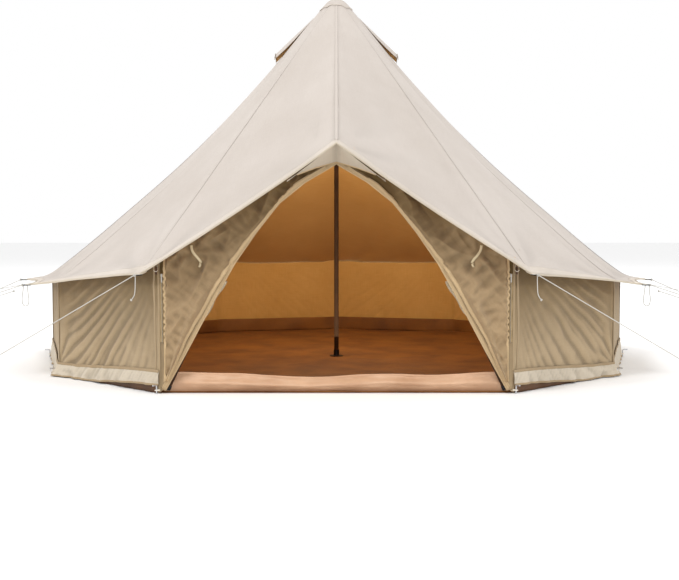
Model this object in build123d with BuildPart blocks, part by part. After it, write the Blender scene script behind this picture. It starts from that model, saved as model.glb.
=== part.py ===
"""A four-metre canvas bell tent on a centre pole, pitched with its door tied open.

Millimetres, +Z up. The origin is on the ground under the centre pole, and the door faces -Y.
Compass angles are measured in degrees from the door (-Y) towards +X.
"""

import os
from math import atan2, cos, degrees, radians, sin, tan

from build123d import *

# ---- driving dimensions -------------------------------------------------------------------
WALL_R = 2000  # centre to a wall corner
HEIGHT = 2500  # ground to the roof's point, under the cap
WALL_TOP = 602  # roof height above a wall corner
CLOTH = 3  # thickness of a cloth panel's stand-in solid
ROOF_DROP = 6  # the roof cloth's thickness, measured straight down
CORNERS = range(30, 331, 30)  # the eleven wall corners; the twelfth is left out for the door

# roof ribs, as (distance from the centre, height) from the top to the eave tip
TOP_R, TOP_Z = 70, 2462
RIB = [(TOP_R, TOP_Z), (500, 1950), (1000, 1437), (1500, 998), (WALL_R, WALL_TOP), (2180, 548)]
SIDE_TIP_Z = 578  # eave tips at 60 degrees, lifted a little by the door's awning
DOOR_TIP = (2165, 682)  # eave tips at 30 degrees
PEAK = (1900, 1400)  # the awning's peak above the door

# doorway, half of it, as (x, z)
DOOR_PEAK_Z = 1305
KNEE = (580, 743)
SHOULDER = (330, 1080)  # where the doorway's upper edge bends in
SILL_X = 978
GABLE_Y = -WALL_R * cos(radians(30))

UPSTAND = 110  # groundsheet edge
POLE_R, POLE_WALL = 16, 2
DOOR_TUBE_R = 9.5
ROPE_R = 2.5
ARM_R = 7  # the stake head's cross arm
ROPE_GAP = 2 * (ARM_R + ROPE_R + 0.1)  # between the two strands of a guy rope
STAKE_R, STAKE_LEAN = 6, 8
RUNNER_LEN, RUNNER_AT, RUNNER_BORE = 54, 88, ROPE_R + 0.3
RETURN_LEN = 148  # the rope's second strand, from the stake back to its end
RING_OUT, RING_IN, TAB_LEN = 15, 9, 14

# where each guy rope meets its stake:
# the distance from the centre, the compass angle and the height above the ground
STAKE_AT = {30: (3387, 32, 230), 60: (2957, 65, 330), 90: (2720, 90, 330), 120: (3530, 120, 330)}
STAKE_AT |= {150: (2850, 150, 330), 180: (2470, 180, 330)}

os.makedirs("parts", exist_ok=True)


def at(angle, r, z=0.0):
    """The point at a compass angle, a distance from the centre and a height."""
    return Vector(r * sin(radians(angle)), -r * cos(radians(angle)), z)


def finish(part, name):
    """Labels a finished piece and writes it."""
    part.label = name
    export_step(part, f"parts/{name}.step")


def polygon_on(plane, points, amount, mode=Mode.ADD):
    """Extrudes a polygon drawn on a plane, into the part being built."""
    with BuildSketch(plane) as drawn:
        with BuildLine():
            Polyline(*points, close=True)
        make_face()
    extrude(drawn.sketch, amount=amount, mode=mode)


def slab(points, rise):
    """A flat polygon in space, thickened straight up or down as its own solid."""
    face = Face(Wire.make_polygon(points, close=True))
    return extrude(face, amount=abs(rise), dir=(0, 0, 1 if rise > 0 else -1), mode=Mode.PRIVATE)


def panel_on(plane, points, amount):
    """A polygon drawn on a plane and extruded as its own solid, not joined to its neighbours."""
    with BuildSketch(plane) as drawn:
        with BuildLine():
            Polyline(*points, close=True)
        make_face()
    return extrude(drawn.sketch, amount=amount, mode=Mode.PRIVATE)


def sewn(panels, name):
    """Writes panels that meet along their seams as one piece."""
    finish(Compound(children=[solid for panel in panels for solid in panel.solids()]), name)


def rib(angle):
    """The roof's rib at a compass angle, as points from the top down; 0 is the ridge over the door."""
    angle = min(angle, 360 - angle)
    if angle in (0, 30):
        end = PEAK if angle == 0 else DOOR_TIP
        slope = (end[1] - TOP_Z) / (end[0] - TOP_R)
        stops = [TOP_R + (end[0] - TOP_R) * (r - TOP_R) / (RIB[-1][0] - TOP_R) for r, _ in RIB]
        return [(r, TOP_Z + slope * (r - TOP_R)) for r in stops]
    return RIB[:-1] + [(RIB[-1][0], SIDE_TIP_Z)] if angle == 60 else RIB


def roof_below(x, y):
    """Height of the awning's underside, which is flat on each side of the ridge."""
    along = (PEAK[1] - TOP_Z) / (PEAK[0] - TOP_R)
    tip = at(30, DOOR_TIP[0], DOOR_TIP[1])
    top = TOP_Z - along * TOP_R
    across = (tip.Z - top + along * tip.Y) / tip.X
    return top - along * y + across * abs(x) - ROOF_DROP


def roof_at(x, y):
    """Height of the roof's upper face over a point in one of its regular bays."""
    bearing = degrees(atan2(x, -y)) % 360
    middle = 30 * int(bearing // 30) + 15
    r = (x * sin(radians(middle)) - y * cos(radians(middle))) / cos(radians(15))
    for (r0, z0), (r1, z1) in zip(RIB, RIB[1:]):
        if r <= r1:
            break
    return z0 + (z1 - z0) * (r - r0) / (r1 - r0)


def wall_plane(k, lift=0.0):
    """The vertical plane of the wall panel from corner k to the next, x along it, facing out."""
    a, b = at(k, WALL_R), at(k + 30, WALL_R)
    along = (b - a).normalized()
    return Plane(origin=a, x_dir=along, z_dir=along.cross(Vector(0, 0, 1))).offset(lift)


PANEL = (at(60, WALL_R) - at(30, WALL_R)).length
PANELS = list(CORNERS)[:-1]

# ---- groundsheet --------------------------------------------------------------------------
FLOOR_R = WALL_R - 8
UPSTAND_X = WALL_R * sin(radians(30)) - 6

with BuildPart() as groundsheet_floor:
    polygon_on(Plane.XY, [(at(k, FLOOR_R).X, at(k, FLOOR_R).Y) for k in CORNERS], CLOTH)
finish(groundsheet_floor.part, "groundsheet_floor")

with BuildPart() as groundsheet_upstand:
    for k in PANELS:
        polygon_on(wall_plane(k, -5), [(4, CLOTH), (PANEL - 4, CLOTH), (PANEL - 4, UPSTAND), (4, UPSTAND)], -CLOTH)
    front = Plane(origin=(0, GABLE_Y + 10, 0), x_dir=(1, 0, 0), z_dir=(0, -1, 0))
    polygon_on(front, [(-UPSTAND_X, CLOTH), (UPSTAND_X, CLOTH), (UPSTAND_X, UPSTAND), (-UPSTAND_X, UPSTAND)], -CLOTH)
finish(groundsheet_upstand.part, "groundsheet_upstand")

# ---- wall ---------------------------------------------------------------------------------
WINDOW = (170, PANEL - 170, 215, 500)  # left, right, sill and head of the opening, on its panel
WINDOW_PANELS = (120, 210)
WALL_GAP = ROOF_DROP + 6


def wall_height(k):
    """Roof height over wall corner k."""
    if k in (30, 330):
        return roof_below(at(30, WALL_R).X, GABLE_Y) + ROOF_DROP
    return WALL_TOP


with BuildPart() as wall_canvas:
    for k in PANELS:
        left, right = wall_height(k) - WALL_GAP, wall_height(k + 30) - WALL_GAP
        polygon_on(wall_plane(k), [(2, 4), (PANEL - 2, 4), (PANEL - 2, right), (2, left)], -CLOTH)
        if k in WINDOW_PANELS:
            x0, x1, z0, z1 = WINDOW
            hole = [(x0, z0), (x1, z0), (x1, z1), (x0, z1)]
            polygon_on(wall_plane(k), hole, -CLOTH, mode=Mode.SUBTRACT)
finish(wall_canvas.part, "wall_canvas")

with BuildPart() as mud_flap:
    for k in PANELS:
        polygon_on(wall_plane(k, 1), [(2, 1), (PANEL - 2, 1), (PANEL - 2, 125), (2, 125)], CLOTH)
finish(mud_flap.part, "mud_flap")

with BuildPart() as window_meshes:
    for k in WINDOW_PANELS:
        x0, x1, z0, z1 = WINDOW
        inside = wall_plane(k, -1)
        polygon_on(inside, [(x0 + 1, z0 + 1), (x1 - 1, z0 + 1), (x1 - 1, z1 - 1), (x0 + 1, z1 - 1)], -1)
finish(window_meshes.part, "window_meshes")

COVER_SILL = 180
for name, k in zip(("window_cover_right", "window_cover_left"), WINDOW_PANELS):
    x0, x1, _, z1 = WINDOW
    with BuildPart() as window_cover:
        edge = [(x0 - 30, COVER_SILL), (x1 + 30, COVER_SILL), (x1 + 30, z1 + 30), (x0 - 30, z1 + 30)]
        polygon_on(wall_plane(k, -CLOTH - 4), edge, -CLOTH)
    finish(window_cover.part, name)

# ---- front gable, door and frame ----------------------------------------------------------
gable = Plane(origin=(0, GABLE_Y, 0), x_dir=(1, 0, 0), z_dir=(0, -1, 0))
GABLE_EDGE = WALL_R * sin(radians(30)) - 1


def under_roof(x, gap, y=GABLE_Y):
    """A point on the gable plane, a gap below the awning."""
    return (x, roof_below(x, y) - gap)


panels = []
with BuildPart() as front_gable:
    for side in (1, -1):
        low = [(SILL_X, 4), (GABLE_EDGE, 4), under_roof(GABLE_EDGE, 5), under_roof(KNEE[0], 5), KNEE]
        high = [KNEE, under_roof(KNEE[0], 5), under_roof(SHOULDER[0], 5), SHOULDER]
        head = [SHOULDER, under_roof(SHOULDER[0], 5), under_roof(0, 5), (0, DOOR_PEAK_Z)]
        for outline in (low, high, head):
            panels.append(panel_on(gable, [(side * x, z) for x, z in outline], -CLOTH))
sewn(panels, "front_gable")

FLAP_Y = 8  # the flap's back face, in front of the gable
FLAP_EDGE = GABLE_EDGE - 30
for name, side in (("door_flap_right", 1), ("door_flap_left", -1)):
    panels = []
    with BuildPart() as door_flap:
        low = [(FLAP_EDGE - 12, 70), (FLAP_EDGE, 70), under_roof(FLAP_EDGE, 30, GABLE_Y - 20)]
        low += [under_roof(KNEE[0] + 5, 30, GABLE_Y - 20), (KNEE[0] + 5, KNEE[1] + 15)]
        high = [(KNEE[0] + 5, KNEE[1] + 15), under_roof(KNEE[0] + 5, 30, GABLE_Y - 20)]
        high += [under_roof(SHOULDER[0] + 5, 30, GABLE_Y - 20), (SHOULDER[0] + 5, SHOULDER[1] + 15)]
        head = [high[3], high[2], under_roof(120, 30, GABLE_Y - 20), (60, DOOR_PEAK_Z - 25)]
        for outline in (low, high, head):
            panels.append(panel_on(gable.offset(FLAP_Y), [(side * x, z) for x, z in outline], 8))
    sewn(panels, name)

with BuildPart() as mesh_door:
    for side in (1, -1):
        strip = [(SILL_X - 25, 130), (SILL_X - 80, 130), (KNEE[0] - 55, KNEE[1] - 10), (KNEE[0] - 5, KNEE[1] - 10)]
        polygon_on(gable.offset(-48), [(side * x, z) for x, z in strip], -CLOTH)
finish(mesh_door.part, "mesh_door")

ZIP_TOP, ZIP_BOTTOM, ZIP_X = 680, 290, GABLE_EDGE - 10
with BuildPart() as door_zips:
    for side in (1, -1):
        tape = [(ZIP_X - 14, ZIP_BOTTOM), (ZIP_X, ZIP_BOTTOM), (ZIP_X, ZIP_TOP), (ZIP_X - 14, ZIP_TOP)]
        polygon_on(gable.offset(2), [(side * x, z) for x, z in tape], 4)
finish(door_zips.part, "door_zips")

for name, side in (("zip_slider_right", 1), ("zip_slider_left", -1)):
    with BuildPart() as zip_slider:
        with BuildSketch(gable.offset(7)):
            with Locations((side * (ZIP_X - 7), ZIP_TOP - 12)):
                RectangleRounded(10, 16, 3)
        extrude(amount=6)
        with BuildSketch(gable.offset(13)):
            with Locations((side * (ZIP_X - 7), ZIP_TOP - 32)):
                RectangleRounded(7, 40, 3)
        extrude(amount=2)
        with BuildSketch(gable.offset(12)):
            with Locations((side * (ZIP_X - 7), ZIP_TOP - 17)):
                Circle(3)
        extrude(amount=2)
    finish(zip_slider.part, name)

TIE_AT, TOGGLE_AT = (800, 820), (GABLE_EDGE + 14, 695)
with BuildPart() as door_ties:
    for side in (1, -1):
        plane = gable.offset(FLAP_Y + 9)
        strap = [(TIE_AT[0] - 8, 745), (TIE_AT[0] + 10, 745), (TIE_AT[0] + 40, 845), (TIE_AT[0] + 22, 845)]
        polygon_on(plane, [(side * x, z) for x, z in strap], 2)
finish(door_ties.part, "door_ties")

with BuildPart() as door_toggles:
    for side in (1, -1):
        with Locations(Plane(origin=(side * TOGGLE_AT[0], GABLE_Y - 14, TOGGLE_AT[1]), z_dir=(0, 0, 1))):
            Cylinder(radius=6, height=44)
    fillet(door_toggles.edges().filter_by(GeomType.CIRCLE), radius=4)
finish(door_toggles.part, "door_toggles")

# the door's bent tubes stand inside the gable, on the groundsheet
FRAME_Y = GABLE_Y + 32
FOOT_XZ, BEND_XZ, ARCH_XZ, TOP_XZ = (958, 14), (604, 750), (352, 1106), (0, 1352)
FOOT_LEN, SLEEVE = 26, 55


def frame_point(x, z, side=1):
    return Vector(side * x, FRAME_Y, z)


def soft_path(points):
    """A cord's line: straight runs joined by arcs as large as the runs allow."""
    radii = []
    for a, b, c in zip(points, points[1:], points[2:]):
        turn = radians((b - a).get_angle(c - b))
        radii.append(0.45 * min((b - a).length, (c - b).length) / tan(turn / 2))
    print("bends", [round(r) for r in radii])
    return FilletPolyline(*points, radius=radii)


def tube_along(path, outer, inner):
    """Sweeps a tube's section along a line, as part of the builder that calls it."""
    with BuildSketch(Plane(origin=path @ 0, z_dir=path % 0)) as section:
        Circle(outer)
        if inner:
            Circle(inner, mode=Mode.SUBTRACT)
    sweep(section.sketch, path=path)


def toward(a, b, distance):
    """The point at a distance from a on the way to b."""
    return a + (b - a).normalized() * distance


for name, side in (("door_pole_right", 1), ("door_pole_left", -1)):
    foot, bend, arch, top = (frame_point(*p, side) for p in (FOOT_XZ, BEND_XZ, ARCH_XZ, TOP_XZ))
    with BuildPart() as door_pole:
        with BuildLine() as leg:
            FilletPolyline(toward(foot, bend, 8), bend, arch, toward(top, arch, 18), radius=90)
        tube_along(leg.line, DOOR_TUBE_R, DOOR_TUBE_R - 1.2)
    finish(door_pole.part, name)

with BuildPart() as door_pole_elbow:
    top = frame_point(*TOP_XZ)
    ends = [toward(top, frame_point(*ARCH_XZ, side), SLEEVE) for side in (-1, 1)]
    with BuildLine() as bent:
        FilletPolyline(ends[0], top, ends[1], radius=12.5)
    tube_along(bent.line, DOOR_TUBE_R + 2.3, DOOR_TUBE_R + 0.1)
finish(door_pole_elbow.part, "door_pole_elbow")

with BuildPart() as door_pole_feet:
    for side in (1, -1):
        foot, bend = frame_point(*FOOT_XZ, side), frame_point(*BEND_XZ, side)
        with BuildSketch(Plane(origin=toward(foot, bend, 2), z_dir=bend - foot)):
            Circle(DOOR_TUBE_R + 3)
        extrude(amount=FOOT_LEN)
        with BuildSketch(Plane(origin=toward(foot, bend, 7.5), z_dir=bend - foot)):
            Circle(DOOR_TUBE_R + 0.1)
        extrude(amount=FOOT_LEN, mode=Mode.SUBTRACT)
finish(door_pole_feet.part, "door_pole_feet")

# ---- centre pole --------------------------------------------------------------------------
FOOT_TOP = CLOTH + 6
JOINTS = (FOOT_TOP, 830, 1650, 2448)
SPIGOT = 130

with BuildPart() as pole_foot:
    with BuildSketch(Plane.XY.offset(CLOTH)):
        Circle(48)
    extrude(amount=6)
    with BuildSketch(Plane.XY.offset(FOOT_TOP)):
        Circle(POLE_R + 4)
        Circle(POLE_R + 0.2, mode=Mode.SUBTRACT)
    extrude(amount=40)
    fillet(pole_foot.edges().filter_by(GeomType.CIRCLE).group_by(Axis.Z)[-1], radius=1)
finish(pole_foot.part, "pole_foot")

for i, name in enumerate(("pole_lower", "pole_middle", "pole_upper")):
    low, high = JOINTS[i], JOINTS[i + 1]
    inner = POLE_R - POLE_WALL
    with BuildPart() as pole_section:
        with BuildSketch(Plane.XY.offset(low)):
            Circle(POLE_R)
            Circle(inner, mode=Mode.SUBTRACT)
        extrude(amount=high - low)
        if i:
            with BuildSketch(Plane.XY.offset(low + 20)):
                Circle(inner)
                Circle(inner - 4, mode=Mode.SUBTRACT)
            extrude(amount=-10)
            with BuildSketch(Plane.XY.offset(low + 10)):
                Circle(inner - 0.2)
                Circle(inner - 2.5, mode=Mode.SUBTRACT)
            extrude(amount=-10 - SPIGOT)
    finish(pole_section.part, name)

CAP_R = POLE_R - POLE_WALL - 0.2
with BuildPart() as pole_cap:
    with BuildSketch(Plane.XY.offset(2408)):
        Circle(CAP_R)
    extrude(amount=JOINTS[-1] - 2408)
    with BuildSketch(Plane.XY.offset(JOINTS[-1])):
        Circle(24)
    extrude(amount=34)
    fillet(pole_cap.edges().filter_by(GeomType.CIRCLE).group_by(Axis.Z)[-1], radius=14)
finish(pole_cap.part, "pole_cap")

# ---- roof ---------------------------------------------------------------------------------
VENT = (200, 375, 70)  # the vent's top, its sill and half its width
HOOD = (160, 425, 110)  # the hood over it, the same way
HOOD_Z = 2108
point = Vector(0, 0, HEIGHT)


def vent_outline(angle, size):
    """Points of a triangle on the roof, straddling a rib: its top, its sill on the rib, and both feet."""
    top, sill, half = size
    out, across = at(angle, 1), at(angle + 90, 1)
    return [out * top, out * sill] + [out * (sill - 12) + across * s * half for s in (1, -1)]


def on_roof(p):
    return Vector(p.X, p.Y, roof_at(p.X, p.Y))


roof, vents, hoods = [], [], []
with BuildPart() as roof_canvas:
    for k in range(0, 360, 30):
        near = [at(k, r, z) for r, z in rib(k)]
        far = [at(k + 30, r, z) for r, z in rib((k + 30) % 360)]
        roof.append(slab([point, near[0], far[0]], -ROOF_DROP))
        for i in range(len(near) - 1):
            a, b, c, d = near[i], far[i], far[i + 1], near[i + 1]
            if rib(k) == rib((k + 30) % 360):
                facets = [[a, b, c, d]]
            else:
                facets = [[a, b, c], [a, c, d]] if k < 180 else [[a, b, d], [b, c, d]]
            for facet in facets:
                roof.append(slab(facet, -ROOF_DROP))
    for angle in (90, 270):
        top, sill, *feet = vent_outline(angle, VENT)
        for foot in feet:
            cutter = slab([Vector(p.X, p.Y, 2600) for p in (top, sill, foot)], -800)
            roof = [piece - cutter if (piece & cutter) else piece for piece in roof]
            net = [on_roof(p + (foot - p) * 0.0) for p in (top, sill, foot)]
            vents.append(slab([p - Vector(0, 0, 2) for p in net], -2))
        top, sill, *feet = vent_outline(angle, HOOD)
        lip = Vector(sill.X, sill.Y, HOOD_Z)
        for foot in feet:
            hoods.append(slab([on_roof(top), lip, on_roof(foot)], CLOTH))
sewn(roof, "roof_canvas")
sewn(vents, "vent_meshes")
sewn(hoods, "vent_hoods")

APEX_R = 88
cap = []
with BuildPart() as apex_cap:
    for k in range(0, 360, 30):
        top, low = [], []
        for angle in (k, (k + 30) % 360):
            (r0, z0), (r1, z1) = rib(angle)[:2]
            top.append(at(angle, TOP_R, TOP_Z + 1))
            low.append(at(angle, APEX_R, z0 + (z1 - z0) * (APEX_R - r0) / (r1 - r0) + 1))
        cap.append(slab([point + Vector(0, 0, 1), top[0], top[1]], 6))
        if k < 180:
            halves = [[top[0], top[1], low[1]], [top[0], low[1], low[0]]]
        else:
            halves = [[top[0], top[1], low[0]], [top[1], low[1], low[0]]]
        for half in halves:
            cap.append(slab(half, 4))
sewn(cap, "apex_cap")

# ---- eave rings, guy ropes, runners and stakes ---------------------------------------------
UP = Vector(0, 0, 1)


def mirrored(table, angle):
    """Looks up a table kept for one side of the tent."""
    return table[min(angle, 360 - angle)]


def eave_tip(angle):
    """The corner of the roof's eave at a compass angle."""
    r, z = rib(angle)[-1]
    return at(angle, r, z)


def ring_centre(angle):
    return eave_tip(angle) + at(angle, TAB_LEN + RING_OUT - 2) - UP * ROOF_DROP / 2


with BuildPart() as eave_rings:
    for angle in CORNERS:
        tip, out, centre = eave_tip(angle), at(angle, 1), ring_centre(angle)
        before, after = eave_tip(angle - 30 if angle > 30 else 0), eave_tip((angle + 30) % 360)
        if angle in (30, 330):
            peak = at(0, *PEAK)
            before, after = (peak, after) if angle == 30 else (before, peak)
        sides = []
        for other in (before, after):
            along = (Vector(other.X, other.Y) - Vector(tip.X, tip.Y)).normalized()
            sides.append(Vector(tip.X, tip.Y) + along * 12)
        flat = Vector(tip.X, tip.Y)
        square = Vector(0, 0, 1).cross(out)
        outline = [sides[0], flat, sides[1]]
        turn = 1 if square.dot(sides[1] - flat) > 0 else -1
        outline += [flat + out * TAB_LEN + square * turn * 11, flat + out * TAB_LEN - square * turn * 11]
        plane = Plane.XY.offset(tip.Z - ROOF_DROP)
        with BuildSketch(plane):
            with BuildLine():
                Polyline(*[(p.X, p.Y) for p in outline], close=True)
            make_face()
            with Locations((centre.X, centre.Y)):
                Circle(RING_OUT)
                Circle(RING_IN, mode=Mode.SUBTRACT)
        extrude(amount=ROOF_DROP)
finish(eave_rings.part, "eave_rings")


def rope_frame(angle):
    """A guy rope's start, its run towards the stake, the way up square to it, and its length."""
    r, bearing, height = mirrored(STAKE_AT, angle)
    target = at(bearing if angle <= 180 else 360 - bearing, r, height)
    centre = ring_centre(angle)
    flat = Vector(target.X - centre.X, target.Y - centre.Y).normalized()
    start = centre + flat * (RING_OUT + ROPE_R)
    run = (target - start).normalized()
    rise = (UP - run * UP.dot(run)).normalized()
    return start, run, rise, (target - start).length


stake_shaft_parts, stake_head_parts = [], []
LATERAL = 17  # the rope's offset along the cross arm from the stake's middle
ROPES = list(zip(range(1, 12), CORNERS))
for number, angle in ROPES:
    start, run, rise, length = rope_frame(angle)
    hook = start + run * length
    centre = hook - rise * ROPE_GAP / 2
    back = length - 60 if angle in (60, 300) else RETURN_LEN
    turns = [centre + run * ROPE_GAP / 2 + rise * side * ROPE_GAP / 2 for side in (1, -1)]
    with BuildPart() as guy_rope:
        with BuildLine() as line:
            FilletPolyline(start, *turns, centre - rise * ROPE_GAP / 2 - run * back, radius=ROPE_GAP / 2 - 0.2)
        tube_along(line.line, ROPE_R, None)
    finish(guy_rope.part, f"guy_rope_{number:02d}")

    # the runner's plate, with a bore for each strand
    with BuildPart() as runner:
        plate = Plane(origin=centre - run * (RUNNER_AT + RUNNER_LEN), x_dir=rise, z_dir=run)
        with BuildSketch(plate):
            SlotOverall(ROPE_GAP + 17, 15)
            with Locations((ROPE_GAP / 2, 0), (-ROPE_GAP / 2, 0)):
                Circle(RUNNER_BORE, mode=Mode.SUBTRACT)
        extrude(amount=RUNNER_LEN)
    finish(runner.part, f"runner_{number:02d}")

    # the stake leans away from the tent and stands on its point
    flat = Vector(run.X, run.Y).normalized()
    across = UP.cross(flat)
    head = centre + across * LATERAL
    down = (-UP * cos(radians(STAKE_LEAN)) - flat * sin(radians(STAKE_LEAN))).normalized()
    reach = head.Z / cos(radians(STAKE_LEAN))
    point_at = head + down * reach
    with BuildPart(mode=Mode.PRIVATE) as shaft:
        with BuildSketch(Plane(origin=head + down * 14, z_dir=down)):
            Circle(STAKE_R)
        extrude(amount=reach - 14 - 34)
        with BuildSketch(Plane(origin=point_at - down * 34, z_dir=down)):
            Circle(STAKE_R)
        extrude(amount=33, taper=8.5)
    stake_shaft_parts.append(shaft.part)
    with BuildPart(mode=Mode.PRIVATE) as arm:
        with BuildLine() as bar:
            corner = head - across * (LATERAL + 26)
            FilletPolyline(head + across * 26, corner, corner - UP * 30, radius=12)
        with BuildSketch(Plane(origin=head + across * 26, z_dir=-across)) as section:
            Circle(ARM_R)
        sweep(section.sketch, path=bar.line)
        with BuildSketch(Plane(origin=head - down * 2, z_dir=down)):
            Circle(STAKE_R + 3)
        extrude(amount=34)
        with BuildSketch(Plane(origin=head + down * 14, z_dir=down)):
            Circle(STAKE_R)
        extrude(amount=30, mode=Mode.SUBTRACT)
    stake_head_parts.append(arm.part)
sewn(stake_shaft_parts, "stake_shafts")
sewn(stake_head_parts, "stake_heads")

# the loose ends that hang from the front eave rings, and the loops from the next ones:
# each route is sideways from the ring's middle and down from its underside
TAIL_ROUTE = [(0, 0.3), (0.5, 40), (2, 80), (6, 114), (24, 134)]
LOOP_ROUTE = [(12, 0.3), (15, 42), (23, 86), (15, 126), (-15, 126), (-23, 86), (-15, 42), (-12, 0.3)]


def hanging(name, angle, route, forward):
    """A short cord that hangs from an eave ring, drawn outwards on its own side of the tent."""
    side = 1 if angle < 180 else -1
    top = ring_centre(angle) + at(angle, forward) - UP * ROOF_DROP / 2
    with BuildPart() as cord:
        with BuildLine() as line:
            soft_path([top + Vector(side * x, 0, -z) for x, z in route])
        tube_along(line.line, ROPE_R, None)
    finish(cord.part, name)


for name, angle, route, forward in (
    ("rope_tail_right", 30, TAIL_ROUTE, RING_IN + 3),
    ("rope_tail_left", 330, TAIL_ROUTE, RING_IN + 3),
    ("rope_loop_right", 60, LOOP_ROUTE, 0),
    ("rope_loop_left", 300, LOOP_ROUTE, 0),
):
    hanging(name, angle, route, forward)

# ---- pegs at the foot of the wall -----------------------------------------------------------
LOOP_R, LOOP_CORD = 14, 2.5
LOOP_AT = WALL_R + 4 + LOOP_R + LOOP_CORD
LOOP_Z = 20
PEG_R, PEG_TALL, PEG_BEND = 4, 50, 34
with BuildPart() as hem_loops:
    for angle in CORNERS:
        with Locations(Plane(origin=at(angle, LOOP_AT, LOOP_Z), z_dir=(0, 0, 1))):
            Torus(LOOP_R, LOOP_CORD)
finish(hem_loops.part, "hem_loops")

with BuildPart() as hem_pegs:
    for angle in CORNERS:
        foot = at(angle, LOOP_AT + LOOP_R - LOOP_CORD - PEG_R - 0.2)
        out = at(angle, 1)
        with BuildLine() as bar:
            FilletPolyline(foot, foot + UP * PEG_TALL, foot + UP * PEG_TALL + out * PEG_BEND, radius=9)
        with BuildSketch(Plane(origin=foot, z_dir=UP)) as section:
            Circle(PEG_R)
        sweep(section.sketch, path=bar.line)
finish(hem_pegs.part, "hem_pegs")
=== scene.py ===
"""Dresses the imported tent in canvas, cord and metal, and sets up the studio it stands in.

Metres, +Z up, door towards -Y. Compass angles are in degrees from the door towards +X.
"""

from math import cos, pi, radians, sin

import bpy
import bmesh
import numpy as np
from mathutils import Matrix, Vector, noise


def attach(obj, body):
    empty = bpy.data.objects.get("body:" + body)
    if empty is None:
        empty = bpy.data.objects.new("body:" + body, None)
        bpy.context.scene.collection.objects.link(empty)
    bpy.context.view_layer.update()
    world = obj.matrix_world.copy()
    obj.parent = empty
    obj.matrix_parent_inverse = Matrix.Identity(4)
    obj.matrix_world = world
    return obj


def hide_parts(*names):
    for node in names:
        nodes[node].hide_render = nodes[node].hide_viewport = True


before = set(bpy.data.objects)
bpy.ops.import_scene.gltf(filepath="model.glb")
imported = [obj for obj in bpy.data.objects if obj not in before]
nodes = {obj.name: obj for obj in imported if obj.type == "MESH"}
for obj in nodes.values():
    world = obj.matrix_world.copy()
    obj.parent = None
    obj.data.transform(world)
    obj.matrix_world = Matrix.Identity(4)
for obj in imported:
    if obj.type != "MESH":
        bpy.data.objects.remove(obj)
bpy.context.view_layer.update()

# ---- driving dimensions, as in the CAD ----
WALL_R = 2.0
RIB_R = [0.0, 0.07, 0.5, 1.0, 1.5, 2.0, 2.18]
RIB_Z = [2.5, 2.462, 1.95, 1.437, 0.998, 0.602, 0.548]
TOP_R, TOP_Z = 0.07, 2.462
SIDE_LIFT = 0.03
DOOR_TIP = (2.165, 0.682)
PEAK = (1.9, 1.40)
GABLE_Y = -WALL_R * cos(radians(30))
CORNERS = range(30, 331, 30)
ROPE_D = 0.005
RING_OUT, RING_IN, TAB = 0.015, 0.009, 0.014
ROPE_GAP = 0.0192  # between a guy rope's two strands
# where each rope meets its stake: distance from the centre, compass angle and height
STAKE_AT = {
    30: (3.387, 32, 0.23), 60: (2.957, 65, 0.33), 90: (2.72, 90, 0.33),
    120: (3.53, 120, 0.33), 150: (2.85, 150, 0.33), 180: (2.47, 180, 0.33),
}
UP = Vector((0, 0, 1))
FRONT = (0.0, -1.0, 0.0)


def at(angle, r, z=0.0):
    """The point at a compass angle, a distance from the centre and a height."""
    return Vector((r * sin(radians(angle)), -r * cos(radians(angle)), z))


def ramp(low, high, x):
    """0 below low, 1 above high, and a smooth rise between; works on numbers and arrays."""
    t = np.clip((np.asarray(x, float) - low) / (high - low), 0, 1)
    return t * t * (3 - 2 * t)


def wobble(x, y, seed=0.0, octaves=3):
    """Smooth noise over two coordinates, the same every run."""
    flat = np.broadcast_arrays(np.asarray(x, float), np.asarray(y, float))
    out = np.empty(flat[0].shape)
    for i, (a, b) in enumerate(zip(flat[0].ravel(), flat[1].ravel())):
        out.flat[i] = noise.fractal(Vector((a, b, seed)), 1.0, 2.0, octaves)
    return out


def repeated(vector, count):
    """One direction, given to every point of a line."""
    return np.tile(np.array(vector), (count, 1))


def unit(vectors):
    """The same directions at length 1."""
    return vectors / np.maximum(np.linalg.norm(vectors, axis=-1, keepdims=True), 1e-12)


def run_along(points, axis=0):
    """The distance run along one axis of a line or grid of points."""
    steps = np.cumsum(np.linalg.norm(np.diff(points, axis=axis), axis=-1), axis=axis)
    return np.insert(steps, 0, 0, axis=axis)


# ---- mesh helpers ----
def add_object(name, data):
    """A new object in the scene."""
    obj = bpy.data.objects.new(name, data)
    bpy.context.scene.collection.objects.link(obj)
    return obj


def new_object(name, verts, faces, materials, indices=None, uv=None):
    """A smooth-shaded mesh object, with a UV per vertex in metres."""
    mesh = bpy.data.meshes.new(name)
    mesh.from_pydata([tuple(v) for v in verts], [], faces)
    for material in materials:
        mesh.materials.append(material)
    if indices is not None:
        mesh.polygons.foreach_set("material_index", indices)
    mesh.shade_smooth()
    if uv is not None:
        layer = mesh.uv_layers.new(name="cloth")
        loops = np.empty(len(mesh.loops), dtype=np.int32)
        mesh.loops.foreach_get("vertex_index", loops)
        layer.data.foreach_set("uv", np.asarray(uv, float)[loops].ravel())
    mesh.validate()
    return add_object(name, mesh)


def normals_of(grid, closed=False):
    """Unit normals of a grid of points, rows by columns by three."""
    if closed:
        wide = np.concatenate([grid[:, -2:-1], grid, grid[:, 1:2]], axis=1)
        across = wide[:, 2:] - wide[:, :-2]
    else:
        across = np.gradient(grid, axis=1)
    return unit(np.cross(across, np.gradient(grid, axis=0)))


FOLD_DEPTH = 0.0035  # how deep a fold is that holds full shade
FOLD_REACH = 3  # how many cells away its sides are looked for


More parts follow.
